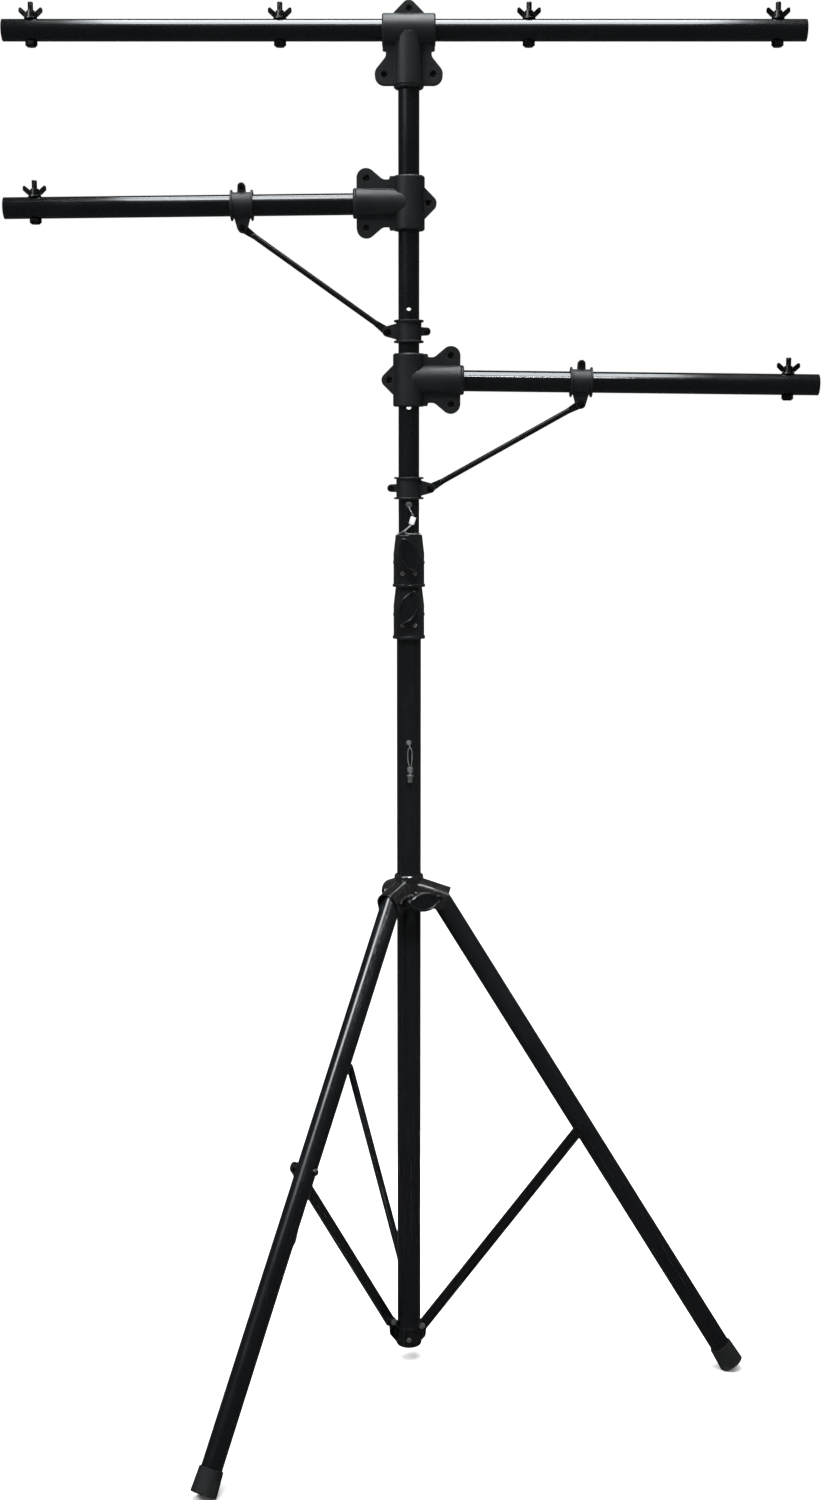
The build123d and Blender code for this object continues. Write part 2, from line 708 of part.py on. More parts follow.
def fitting_half(plane, through_radius, stem_axis):
    """One moulded half: flat flange with lobes and lug, half sleeves raised from it."""
    centre = plane.origin
    sleeve_start = centre - plane.x_dir * fitting_sleeve_half
    shoulder = (fitting_shoulder_half, -fitting_shoulder_drop)
    across = lobe_spread - fitting_waist[0]
    below = -lobe_drop - fitting_waist[1]
    reach = math.hypot(across, below)
    tilt = math.atan2(below, across) + math.asin(lobe_radius / reach)
    lobe_start = (
        lobe_spread - lobe_radius * math.sin(tilt),
        -lobe_drop + lobe_radius * math.cos(tilt),
    )
    lobe_side = (lobe_spread + lobe_radius, -lobe_drop)
    lobe_end = (lobe_spread, -lobe_drop - lobe_radius)
    with BuildPart() as half:
        with BuildSketch(plane.offset(fitting_gap)):
            with BuildLine():
                Line((0, -18), (fitting_shoulder_half, -18))
                Line((fitting_shoulder_half, -18), shoulder)
                Line(shoulder, fitting_neck)
                FilletPolyline(fitting_neck, fitting_waist, lobe_start, radius=fitting_waist_round)
                ThreePointArc(lobe_start, lobe_side, lobe_end)
                Line(lobe_end, (0, lobe_end[1]))
                mirror(about=Plane.YZ)
            make_face()
        extrude(amount=fitting_flange)
        plate(
            plane.offset(fitting_gap),
            [
                (0, lug_height, lug_radius),
                (-lug_half_width + 1, fitting_sleeve_radius - 1, 1.0),
                (lug_half_width - 1, fitting_sleeve_radius - 1, 1.0),
                (0, 10, 5),
            ],
            fitting_flange,
        )
        for direction in (plane.x_dir, -plane.x_dir):
            chamfered_rod(centre, direction, fitting_sleeve_radius, fitting_sleeve_half)
        chamfered_rod(centre, -plane.y_dir, fitting_stem_radius, fitting_stem_length)
        add(stem_rib(plane).part)
        split(bisect_by=plane.offset(fitting_gap), keep=Keep.TOP)
        rod(sleeve_start, plane.x_dir, through_radius, 2 * fitting_sleeve_half, Mode.SUBTRACT)
        stem_bore = bar_radius + fixed_gap
        rod(centre + stem_axis * 17, stem_axis, stem_bore, fitting_stem_length, Mode.SUBTRACT)
        for x, y in fitting_screws:
            spot = plane.from_local_coords(Vector(x, y, 0))
            rod(spot, plane.z_dir, fitting_hole_radius, 20, Mode.SUBTRACT)
            seat = spot + plane.z_dir * fitting_head_seat
            rod(seat, plane.z_dir, fitting_head_radius + 0.4, 20, Mode.SUBTRACT)
    return half


def add_fitting_screws(plane):
    """Socket-head screws in the front half with nuts sunk in the back half."""
    for x, y in fitting_screws:
        spot = plane.from_local_coords(Vector(x, y, 0))
        front = plane.z_dir
        rod(spot - front * 7.4, front, 3.0, 12.4)
        rod(spot + front * (fitting_head_seat + 0.05), front, fitting_head_radius, 3.7)
        hexagon(spot + front * 5.6, front, 3.1, 6, Mode.SUBTRACT)
        hexagon(spot - front * (fitting_head_seat + 0.05), -front, fitting_head_radius, 3.2)


down_mast = -UP
for name, plane in {"front": top_front, "back": turned(top_front)}.items():
    half = fitting_half(plane, bar_radius + fixed_gap, down_mast)
    save(half, f"top_fitting_{name}")
with BuildPart() as top_fitting_screws:
    add_fitting_screws(top_front)
save(top_fitting_screws, "top_fitting_screws")

for side in outward:
    front_plane = side_fitting_plane(side)
    stem_axis = bar_plane(side).x_dir
    for name, plane in {"front": front_plane, "back": turned(front_plane)}.items():
        half = fitting_half(plane, upper_radius + slide_gap, stem_axis)
        save(half, f"{side}_fitting_{name}")

# ---------------------------------------------------------------- bars, bolts and wing nuts


def bar_tube(frame, start, length, bolt_distances):
    """Bar along the frame's x, with a bolt hole down through it at each distance."""
    with BuildPart() as bar:
        rod(frame.origin + frame.x_dir * start, frame.x_dir, bar_radius, length)
        inner = bar_radius - bar_wall
        rod(frame.origin + frame.x_dir * start, frame.x_dir, inner, length, Mode.SUBTRACT)
        for distance in bolt_distances:
            low = frame.origin + frame.x_dir * distance - frame.z_dir * 30
            rod(low, frame.z_dir, stud_hole_radius, 60, Mode.SUBTRACT)
    return bar


def add_hanging_bolt(frame, distance):
    """Stud up through the bar with a hexagon head under it."""
    seat = frame.origin + frame.x_dir * distance
    up = frame.z_dir
    hexagon(seat - up * bar_radius, -up, 9.2, 6.4)
    rod(seat - up * (bar_radius + 6.4), -up, 7.6, 1.8, taper=30)
    rod(seat - up * (bar_radius + 1), up, stud_radius, bar_radius + 1 + stud_reach - 1.0)
    rod(seat + up * (stud_reach - 1.0), up, stud_radius, 1.0, taper=35)


def wing_nut(frame, distance):
    """Nut with a round base, a conical hub and two slanted ears along the bar."""
    seat = frame.origin + frame.x_dir * distance
    up = frame.z_dir
    across = frame.x_dir.cross(up)
    ear_plane = Plane(origin=seat - across * (nut_wing / 2), x_dir=frame.x_dir, z_dir=across)
    rise = 1 if ear_plane.y_dir.dot(up) > 0 else -1
    with BuildPart() as nut:
        rod(seat + up * nut_seat, up, nut_flange_radius, nut_flange, taper=12)
        rod(seat + up * nut_seat, up, nut_hub_radius, nut_flange + nut_hub_height, taper=7)
        for side in (-1, 1):
            plate(
                ear_plane,
                [
                    (side * 3.5, rise * 20.5, 2.2),
                    (side * 9.5, rise * 21.5, 2.4),
                    (side * (nut_span - 2.0), rise * 27.0, 2.0),
                    (side * (nut_span - 2.6), rise * (nut_tip_height - 2.4), 2.4),
                ],
                nut_wing,
            )
        rod(seat + up * nut_seat, up, stud_radius + 0.05, 30, Mode.SUBTRACT)
    return nut


t_bar_frame = Plane(origin=(t_bar_centre, 0, t_bar_height), x_dir=(1, 0, 0), z_dir=(0, 0, 1))
t_bolts = [step * t_bolt_pitch for step in (-1.5, -0.5, 0.5, 1.5)]
save(bar_tube(t_bar_frame, -t_bar_half_length, 2 * t_bar_half_length, t_bolts), "t_bar")
with BuildPart() as t_bar_bolts:
    for distance in t_bolts:
        add_hanging_bolt(t_bar_frame, distance)
save(t_bar_bolts, "t_bar_bolts")
for number, distance in enumerate(t_bolts, start=1):
    save(wing_nut(t_bar_frame, distance), f"wing_nut_{number}")

# ---------------------------------------------------------------- rings, struts and side bars


def add_clamp_ring(frame):
    """Ring round the frame's x axis: pivot ears towards -z, a split screw lug towards +z."""
    start = frame.origin - frame.x_dir * ring_half_length
    length = 2 * ring_half_length
    upright = Plane(origin=frame.origin, x_dir=frame.x_dir, z_dir=-frame.y_dir)
    with BuildPart() as ring:
        rod(start, frame.x_dir, ring_body_radius, length)
        rod(start, frame.x_dir, ring_flange_radius, ring_flange)
        far_flange = start + frame.x_dir * (length - ring_flange)
        rod(far_flange, frame.x_dir, ring_flange_radius, ring_flange)
        rims = ring.edges().filter_by(GeomType.CIRCLE)
        fillet(rims.filter_by(lambda rim: rim.radius > ring_body_radius + 1), 0.8)
        for offset in (ring_ear_inner, -ring_ear_outer):
            plate(
                upright.offset(offset),
                [(0, -ring_pivot_drop, 7.6), (-9, -14, 4.0), (9, -14, 4.0)],
                ring_ear_outer - ring_ear_inner,
            )
        plate(
            upright.offset(-ring_lug_half),
            [(0, ring_lug_top - 5.8, 5.8), (-4.5, 15, 2.0), (4.5, 15, 2.0)],
            2 * ring_lug_half,
        )
        rod(start, frame.x_dir, bar_radius + slide_gap, length, Mode.SUBTRACT)
        slit_start = frame.origin - frame.x_dir * 20
        with BuildSketch(Plane(origin=slit_start, x_dir=frame.z_dir, z_dir=frame.x_dir)) as slit:
            with Locations((26, 0)):
                Rectangle(24, ring_slit)
        extrude(slit.sketch, amount=40, mode=Mode.SUBTRACT)
        pivot_hole = (-ring_pivot_drop, pivot_hole_radius)
        screw_hole = (ring_lug_top - ring_screw_inset, ring_screw_radius + 0.05)
        for height, radius in (pivot_hole, screw_hole):
            hole = frame.origin + frame.z_dir * height - frame.y_dir * 20
            rod(hole, frame.y_dir, radius, 40, Mode.SUBTRACT)
    return ring


def add_ring_screws(frame):
    """Strut pivot bolt through the ears and clamp screw through the split lug."""
    pivot = frame.origin - frame.z_dir * ring_pivot_drop
    clamp = frame.origin + frame.z_dir * (ring_lug_top - ring_screw_inset)
    rod(pivot - FRONT * 9.5, FRONT, pivot_bolt_radius, 17.0)
    rod(pivot + FRONT * (ring_ear_outer + 0.05), FRONT, 5.2, 2.8, taper=20)
    hexagon(pivot - FRONT * (ring_ear_outer + 0.05), -FRONT, 5.0, 3.6)
    rod(clamp - FRONT * 8.0, FRONT, ring_screw_radius, 14.0)
    rod(clamp + FRONT * (ring_lug_half + 0.05), FRONT, 4.2, 2.8, taper=15)
    hexagon(clamp - FRONT * (ring_lug_half + 0.05), -FRONT, 4.2, 3.0)


def strut(start, end):
    """Round rod with a flattened eye at each end."""
    run = (end - start).normalized()
    length = (end - start).length
    overlap = 6.0
    round_start = strut_pad_length - overlap
    flat = Plane(origin=start - FRONT * strut_pad_half, x_dir=run, z_dir=FRONT)
    with BuildPart() as rod_part:
        rod(start + run * round_start, run, strut_radius, length - 2 * round_start)
        fillet(rod_part.edges(), 1.5)
        for near, far in ((0, strut_pad_length), (length, length - strut_pad_length)):
            plate(
                flat,
                [(near, 0, strut_pad_radius), (far, 0, strut_radius - 0.2)],
                2 * strut_pad_half,
            )
        for point in (start, end):
            rod(point - FRONT * 10, FRONT, pivot_hole_radius, 20, Mode.SUBTRACT)
    return rod_part


for side in outward:
    frame = bar_plane(side)
    sign = outward[side]
    start = side_bar_starts[side]
    bolt_distance = start + side_bar_length - side_bolt_from_end
    save(bar_tube(frame, start, side_bar_length, [bolt_distance]), f"{side}_bar")
    with BuildPart() as bar_bolt:
        add_hanging_bolt(frame, bolt_distance)
    save(bar_bolt, f"{side}_bar_bolt")
    save(wing_nut(frame, bolt_distance), f"{side}_wing_nut")

    bar_ring_origin = frame.origin + frame.x_dir * bar_ring_distances[side]
    bar_ring = Plane(origin=bar_ring_origin, x_dir=frame.x_dir, z_dir=frame.z_dir)
    mast_ring_origin = UP * mast_ring_heights[side]
    mast_ring = Plane(origin=mast_ring_origin, x_dir=UP, z_dir=(-sign, 0, 0))
    with BuildPart() as clamp_rings:
        add(add_clamp_ring(bar_ring).part)
        add(add_clamp_ring(mast_ring).part)
    save(clamp_rings, f"{side}_clamp_rings")
    bar_pivot = bar_ring_origin - bar_ring.z_dir * ring_pivot_drop
    mast_pivot = mast_ring_origin - mast_ring.z_dir * ring_pivot_drop
    save(strut(bar_pivot, mast_pivot), f"{side}_strut")
    with BuildPart() as arm_screws:
        add_fitting_screws(side_fitting_plane(side))
        add_ring_screws(bar_ring)
        add_ring_screws(mast_ring)
    save(arm_screws, f"{side}_arm_screws")
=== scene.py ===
import math

import bmesh
import bpy
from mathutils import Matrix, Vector


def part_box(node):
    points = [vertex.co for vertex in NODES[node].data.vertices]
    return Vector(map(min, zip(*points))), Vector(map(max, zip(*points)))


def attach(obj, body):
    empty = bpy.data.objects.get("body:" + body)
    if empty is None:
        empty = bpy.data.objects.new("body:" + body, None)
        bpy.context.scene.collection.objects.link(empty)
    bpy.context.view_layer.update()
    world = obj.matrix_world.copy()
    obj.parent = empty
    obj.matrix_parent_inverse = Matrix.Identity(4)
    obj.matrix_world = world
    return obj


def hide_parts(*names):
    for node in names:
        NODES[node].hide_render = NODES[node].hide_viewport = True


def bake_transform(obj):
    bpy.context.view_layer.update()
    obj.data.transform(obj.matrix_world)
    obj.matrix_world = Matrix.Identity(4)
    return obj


# The looks of the lighting stand: camera, light, materials, twisted wires and the threads on the
# hanging bolts. Everything is in metres, in the frame of the CAD model.

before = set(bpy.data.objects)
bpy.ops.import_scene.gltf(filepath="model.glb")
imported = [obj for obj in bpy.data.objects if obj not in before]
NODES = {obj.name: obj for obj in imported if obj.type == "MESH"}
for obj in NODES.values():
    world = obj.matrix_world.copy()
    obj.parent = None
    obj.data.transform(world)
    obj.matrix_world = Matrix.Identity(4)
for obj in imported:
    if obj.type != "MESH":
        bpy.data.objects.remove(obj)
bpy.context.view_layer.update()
SCENE = bpy.context.scene

MM = 0.001
UP = Vector((0, 0, 1))
DATUM_HEIGHT = 9.0 * MM
LEG_AZIMUTHS = {"a": 236.34, "b": 356.34, "c": 116.34}
SIDE_AZIMUTHS = {"left": 180, "right": 0}
LEG_SLOPE = math.radians(31.84)
BAR_DROOP = math.radians(0.65)


def above_datum(millimetres):
    """A place given in millimetres from the datum plane, which lies a little above the floor."""
    return Vector(millimetres) * MM + UP * DATUM_HEIGHT


def link(name, data):
    """A new object in the scene."""
    made = bpy.data.objects.new(name, data)
    SCENE.collection.objects.link(made)
    return made


def mesh_from(name, shape):
    """A mesh of what was built in a bmesh, which is then freed."""
    mesh = bpy.data.meshes.new(name)
    shape.to_mesh(mesh)
    shape.free()
    return mesh


def spoke(side, other, angle):
    """The direction at an angle in the plane of two directions."""
    return side * math.cos(angle) + other * math.sin(angle)


# ---------------------------------------------------------------- camera

CAMERA_PLACE = (4.1, -3000, 1455.5)
CAMERA_PITCH = math.radians(-8.434)
CAMERA_LENS = 46.08
CAMERA_SENSOR = 36.0
FARTHEST_SEEN = 200.0

camera_data = bpy.data.cameras.new("camera")
camera_data.lens = CAMERA_LENS
camera_data.sensor_width = CAMERA_SENSOR
camera_data.clip_end = FARTHEST_SEEN
camera = link("camera", camera_data)
camera.location = above_datum(CAMERA_PLACE)
camera.rotation_euler = (math.pi / 2 + CAMERA_PITCH, 0, 0)
SCENE.camera = camera

# ---------------------------------------------------------------- wires

WIRE_DIAMETER = 1.6 * MM
WIRE_STRANDS = 6
WIRE_LAY = 9.0 * MM
STRAND_RADIUS = WIRE_DIAMETER / 6
STRAND_CORNERS = 6
STRAND_OVERLAP = 1.02
WIRE_STEP = 0.7 * MM
ROUTE_RESOLUTION = 16

# Places along the wires are in millimetres from the datum plane.
LOOP_RADIUS = 18.4
LOOP_HEIGHT = 1350.6
LOOP_ANGLES = [math.radians(angle) for angle in range(213, -58, -30)]
LOOP = [(LOOP_RADIUS * math.cos(a), LOOP_RADIUS * math.sin(a), LOOP_HEIGHT) for a in LOOP_ANGLES]
UPPER_ROUTE = [
    (0.0, -22.0, 1393.6),
    (0.7, -22.0, 1389.6),
    (3.2, -21.7, 1384.8),
    (6.2, -21.0, 1380.2),
    (7.1, -20.3, 1375.0),
    (5.4, -19.9, 1369.6),
    (2.8, -19.5, 1364.6),
    (-1.4, -19.0, 1360.4),
    (-6.0, -18.3, 1356.9),
    (-10.8, -15.8, 1353.2),
    *LOOP,
    (2.6, -19.0, 1350.7),
    (-3.4, -20.6, 1351.0),
    (-6.6, -21.3, 1353.3),
    (-4.6, -21.6, 1356.9),
    (-0.4, -21.9, 1360.5),
    (4.4, -22.2, 1364.8),
]
SPARE_ROUTE = [
    (1.0, -25.0, 987.0),
    (-0.4, -24.8, 991.2),
    (-1.7, -24.5, 998.0),
    (-1.9, -24.1, 1005.2),
    (-1.5, -23.7, 1012.4),
    (0.2, -23.4, 1018.2),
    (2.8, -23.4, 1018.3),
    (4.6, -23.7, 1012.8),
    (5.1, -24.1, 1005.4),
    (4.8, -24.5, 998.2),
    (4.1, -24.8, 991.4),
    (3.0, -25.0, 987.0),
]


def smooth_line(route):
    """Points along the smooth curve that a wire follows, read from its NURBS spline."""
    data = bpy.data.curves.new("route", "CURVE")
    data.dimensions = "3D"
    data.resolution_u = ROUTE_RESOLUTION
    spline = data.splines.new("NURBS")
    spline.points.add(len(route) - 1)
    for point, place in zip(spline.points, route):
        point.co = (*above_datum(place), 1)
    spline.order_u = 3
    spline.use_endpoint_u = True
    holder = bpy.data.objects.new("route", data)
    line = [vertex.co.copy() for vertex in bpy.data.meshes.new_from_object(holder).vertices]
    bpy.data.objects.remove(holder)
    return line


def carried_frames(line):
    """(point, side, other side, distance so far) along a line, turning as little as possible."""
    frames = []
    ahead = (line[1] - line[0]).normalized()
    side = ahead.orthogonal().normalized()
    travelled = 0.0
    for index, point in enumerate(line):
        before = line[max(index - 1, 0)]
        after = line[min(index + 1, len(line) - 1)]
        heading = (after - before).normalized()
        side = (side - heading * side.dot(heading)).normalized()
        travelled += (point - before).length
        frames.append((point, side, heading.cross(side), travelled))
    return frames


def stranded_wire(name, line):
    """A wire rope: strands laid round a core, as one mesh along the line."""
    shape = bmesh.new()
    frames = carried_frames(line)

    def tube(centre_of):
        """One strand, whose middle at each frame is what centre_of says."""
        rings = []
        for point, side, other, travelled in frames:
            middle = centre_of(point, side, other, travelled)
            ring = []
            for corner in range(STRAND_CORNERS):
                reach = spoke(side, other, math.tau * corner / STRAND_CORNERS)
                ring.append(shape.verts.new(middle + reach * STRAND_RADIUS * STRAND_OVERLAP))
            rings.append(ring)
        for ring, following in zip(rings, rings[1:]):
            for corner in range(STRAND_CORNERS):
                beside = (corner + 1) % STRAND_CORNERS
                shape.faces.new((ring[corner], ring[beside], following[beside], following[corner]))
        shape.faces.new(reversed(rings[0]))
        shape.faces.new(rings[-1])

    tube(lambda point, side, other, travelled: point)
    for strand in range(WIRE_STRANDS):
        start = math.tau * strand / WIRE_STRANDS

        def laid(point, side, other, travelled, start=start):
            angle = start + math.tau * travelled / WIRE_LAY
            return point + spoke(side, other, angle) * STRAND_RADIUS * 2

        tube(laid)
    mesh = mesh_from(name, shape)
    mesh.polygons.foreach_set("use_smooth", [True] * len(mesh.polygons))
    return link(name, mesh)


def divided(line):
    """The same line with extra points, so that the strands turn smoothly."""
    points = [line[0]]
    for before, after in zip(line, line[1:]):
        pieces = max(1, round((after - before).length / WIRE_STEP))
        points += [before.lerp(after, (piece + 1) / pieces) for piece in range(pieces)]
    return points


upper_line = smooth_line(UPPER_ROUTE)
upper_wire = stranded_wire("safety_wire", divided(upper_line))
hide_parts("upper_lanyard")
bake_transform(upper_wire)

spare_line = smooth_line(SPARE_ROUTE)
spare_wire = stranded_wire("spare_wire", divided(spare_line))
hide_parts("spare_lanyard")
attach(spare_wire, "spare_pin")

# ---------------------------------------------------------------- threads on the hanging bolts

THREAD_RADIUS = 4.0 * MM
THREAD_PITCH = 1.25 * MM
THREAD_PROUD = 0.042 * MM
THREAD_SUNK = 0.05 * MM
THREAD_HALF_WIDTH = THREAD_PITCH * 0.42
THREAD_START = 16.4 * MM
THREAD_END = 39.4 * MM
STEPS_PER_TURN = 20
FADE_STEPS = 12


def thread(name, seat, up):
    """A raised helix round a bolt, from the bar's top to the bolt's chamfer."""
    turns = (THREAD_END - THREAD_START) / THREAD_PITCH
    steps = int(turns * STEPS_PER_TURN)
    side = up.orthogonal().normalized()
    other = up.cross(side)
    half_width = up * THREAD_HALF_WIDTH
    shape = bmesh.new()
    rows = []
    for step in range(steps + 1):
        turned = step / STEPS_PER_TURN
        middle = seat + up * (THREAD_START + THREAD_PITCH * turned)
        fade = min(1.0, step / FADE_STEPS, (steps - step) / FADE_STEPS)
        reach = spoke(side, other, math.tau * turned)
        root = middle + reach * (THREAD_RADIUS - THREAD_SUNK)
        crest = middle + reach * (THREAD_RADIUS + THREAD_PROUD * fade)
        rows.append([shape.verts.new(p) for p in (root - half_width, crest, root + half_width)])
    for row, following in zip(rows, rows[1:]):
        for corner in range(len(row)):
            beside = (corner + 1) % len(row)
            shape.faces.new((row[corner], following[corner], following[beside], row[beside]))
    shape.faces.new(rows[0])
    shape.faces.new(reversed(rows[-1]))
    bmesh.ops.recalc_face_normals(shape, faces=shape.faces)
    return link(name, mesh_from(name, shape))


T_BAR_HEIGHT = 2099.5
T_STUDS = [-565.25, -192.75, 179.75, 552.25]
SIDE_STUDS = {"left": (-566.36, 0, 1841.57), "right": (582.06, 0, 1578.30)}
STUD_LEANS = {"left": -BAR_DROOP, "right": BAR_DROOP}

threads = []
for number, place in enumerate(T_STUDS, start=1):
    piece = thread(f"stud_thread_{number}", above_datum((place, 0, T_BAR_HEIGHT)), UP)
    threads.append(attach(piece, "upper_mast"))
for side, seat in SIDE_STUDS.items():
    along_stud = Vector((math.sin(STUD_LEANS[side]), 0, math.cos(STUD_LEANS[side])))
    piece = thread(f"{side}_stud_thread", above_datum(seat), along_stud)
    threads.append(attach(piece, f"{side}_arm"))

# ---------------------------------------------------------------- materials


BEVEL_SAMPLES = 4
EDGE_MATCH = 0.995
DUSTY_SLOPE = 0.6
MIX_COLOUR_A = 6
MIX_COLOUR_B = 7
MIX_COLOUR_RESULT = 2


class Recipe:
    """A procedural material while it is being put together. Noise scales are per metre."""

    def __init__(self, name):
        self.material = bpy.data.materials.new(name)
        self.material.use_nodes = True
        self.tree = self.material.node_tree
        self.shader = self.tree.nodes["Principled BSDF"]
        self.place = self.tree.nodes.new("ShaderNodeTexCoord").outputs["Object"]

    def add(self, kind, settings=None, **inputs):
        """A new node, with its settings and inputs, which are values or other nodes' outputs."""
        made = self.tree.nodes.new(kind)
        for key, value in (settings or {}).items():
            setattr(made, key, value)
        for key, value in inputs.items():
            self.put(made.inputs[key.replace("_", " ")], value)
        return made

    def put(self, socket, value):
        """Feeds an input from another node's output, or sets it to a value."""
        if isinstance(value, bpy.types.NodeSocket):
            self.tree.links.new(value, socket)
        else:
            socket.default_value = value

    def stretched(self, along, squeeze):
        """Coordinates that run slowly along one direction, for scratches and brush marks."""
        turn = Vector(along).normalized().rotation_difference(UP).to_euler()
        turned = self.add("ShaderNodeMapping", Vector=self.place, Rotation=tuple(turn))
        scaled = self.add("ShaderNodeMapping", Vector=turned.outputs[0], Scale=(1, 1, squeeze))
        return scaled.outputs[0]

    def noise(self, scale, detail=3.0, roughness=0.55, place=None):
        """A cloudy value round a half."""
        made = self.add(
            "ShaderNodeTexNoise",
            Vector=place or self.place,
            Scale=scale,
            Detail=detail,
            Roughness=roughness,
        )
        return made.outputs["Fac"]

    def ranged(self, value, low, high, to_low=0.0, to_high=1.0):
        """A value mapped from one range to another, clamped."""
        made = self.add("ShaderNodeMapRange", Value=value)
        limits = {"From Min": low, "From Max": high, "To Min": to_low, "To Max": to_high}
        for key, number in limits.items():
            made.inputs[key].default_value = number
        return made.outputs[0]

    def maths(self, operation, first, second):
        """Two values added, subtracted or multiplied."""
        made = self.add("ShaderNodeMath", {"operation": operation})
        self.put(made.inputs[0], first)
        self.put(made.inputs[1], second)
        return made.outputs[0]

    def mixed(self, amount, first, second):
        """Two colours mixed by an amount."""
        made = self.add("ShaderNodeMix", {"data_type": "RGBA"})
        self.put(made.inputs[0], amount)
        self.put(made.inputs[MIX_COLOUR_A], first)
        self.put(made.inputs[MIX_COLOUR_B], second)
        return made.outputs[MIX_COLOUR_RESULT]

    def faded(self, mask, share):
        """A mask made weaker, to a share of itself."""
        return self.maths("MULTIPLY", mask, share)

    def edges(self, radius, full):
        """1 on edges and 0 on open surfaces, from how much a rounded normal differs."""
        rounded = self.add("ShaderNodeBevel", {"samples": BEVEL_SAMPLES}, Radius=radius)
        geometry = self.add("ShaderNodeNewGeometry")
        match = self.add("ShaderNodeVectorMath", {"operation": "DOT_PRODUCT"})
        self.put(match.inputs[0], rounded.outputs[0])
        self.put(match.inputs[1], geometry.outputs["Normal"])
        return self.ranged(match.outputs["Value"], EDGE_MATCH, full)

    def facing_up(self):
        """1 on faces that look up, where dust settles."""
        geometry = self.add("ShaderNodeNewGeometry")
        split = self.add("ShaderNodeSeparateXYZ", Vector=geometry.outputs["Normal"])
        return self.ranged(split.outputs["Z"], DUSTY_SLOPE, 1.0)

    def relief(self, layers, soft_edge=0.0):
        """Bumps from (height, depth in metres) layers, on top of edges rounded by a radius."""
        normal = None
        if soft_edge:
            bevel = self.add("ShaderNodeBevel", {"samples": BEVEL_SAMPLES}, Radius=soft_edge)
            normal = bevel.outputs[0]
        for height, depth in layers:
            bump = self.add("ShaderNodeBump", Height=height, Distance=depth, Strength=1.0)
            if normal is not None:
                self.put(bump.inputs["Normal"], normal)
            normal = bump.outputs[0]
        self.put(self.shader.inputs["Normal"], normal)

    def finish(self, **inputs):
        """The material, with these inputs of its shader filled in."""
        for key, value in inputs.items():
            self.put(self.shader.inputs[key.replace("_", " ")], value)
        return self.material


def grey(level, warmth=0.0):
    """A grey, a little warmer or cooler."""
    return (level + warmth, level, level - warmth, 1)


def powder_coat(name, along, gloss):
    """Satin black powder coat on steel tube, lightly scuffed along the tube."""
    recipe = Recipe(name)
    lengthwise = recipe.stretched(along, squeeze=0.02)
    clouds = recipe.noise(scale=9.0, detail=4.0)
    scuffs = recipe.noise(scale=420.0, detail=2.0, roughness=0.7, place=lengthwise)
    peel = recipe.noise(scale=650.0, detail=2.0)
    grain = recipe.noise(scale=2600.0, detail=1.0)
    patches = recipe.ranged(recipe.noise(scale=60.0), low=0.42, high=0.62)
    worn = recipe.maths("MULTIPLY", recipe.edges(radius=0.9 * MM, full=0.8), patches)
    specks = recipe.ranged(recipe.noise(scale=240.0, detail=5.0), low=0.5, high=0.75)
    dust = recipe.maths("MULTIPLY", recipe.facing_up(), specks)
    scuffed = recipe.ranged(scuffs, low=0.62, high=0.8, to_high=0.25)

    colour = recipe.mixed(clouds, grey(0.0016, -0.0003), grey(0.003, -0.0005))
    colour = recipe.mixed(scuffed, colour, grey(0.013, -0.001))
    colour = recipe.mixed(recipe.faded(dust, 0.08), colour, grey(0.1, 0.002))
    colour = recipe.mixed(recipe.faded(worn, 0.4), colour, grey(0.06))
    rough = recipe.ranged(clouds, low=0.3, high=0.7, to_low=gloss - 0.04, to_high=gloss + 0.05)
    dulled = recipe.ranged(scuffs, low=0.55, high=0.85, to_high=0.14)
    rough = recipe.maths("ADD", rough, dulled)
    recipe.relief(
        [(peel, 0.012 * MM), (grain, 0.003 * MM), (scuffs, 0.002 * MM)],
        soft_edge=0.35 * MM,
    )
    return recipe.finish(Base_Color=colour, Roughness=rough, Specular_IOR_Level=0.5)


def enamel(name):
    """Gloss black enamel over cast metal, with a slight orange peel."""
    recipe = Recipe(name)
    clouds = recipe.noise(scale=22.0)
    peel = recipe.noise(scale=260.0, detail=2.0)
    dirt = recipe.noise(scale=140.0, detail=5.0, roughness=0.65)
    patches = recipe.ranged(recipe.noise(scale=90.0), low=0.5, high=0.66)
    worn = recipe.maths("MULTIPLY", recipe.edges(radius=1.2 * MM, full=0.75), patches)

    colour = recipe.mixed(clouds, grey(0.002), grey(0.0045))
    colour = recipe.mixed(recipe.faded(worn, 0.5), colour, grey(0.07))
    rough = recipe.ranged(dirt, low=0.35, high=0.75, to_low=0.08, to_high=0.2)
    recipe.relief([(peel, 0.05 * MM), (dirt, 0.01 * MM)], soft_edge=1.1 * MM)
    return recipe.finish(
        Base_Color=colour,
        Roughness=rough,
        Coat_Weight=0.7,
        Coat_Roughness=0.08,
        Specular_IOR_Level=0.55,
    )


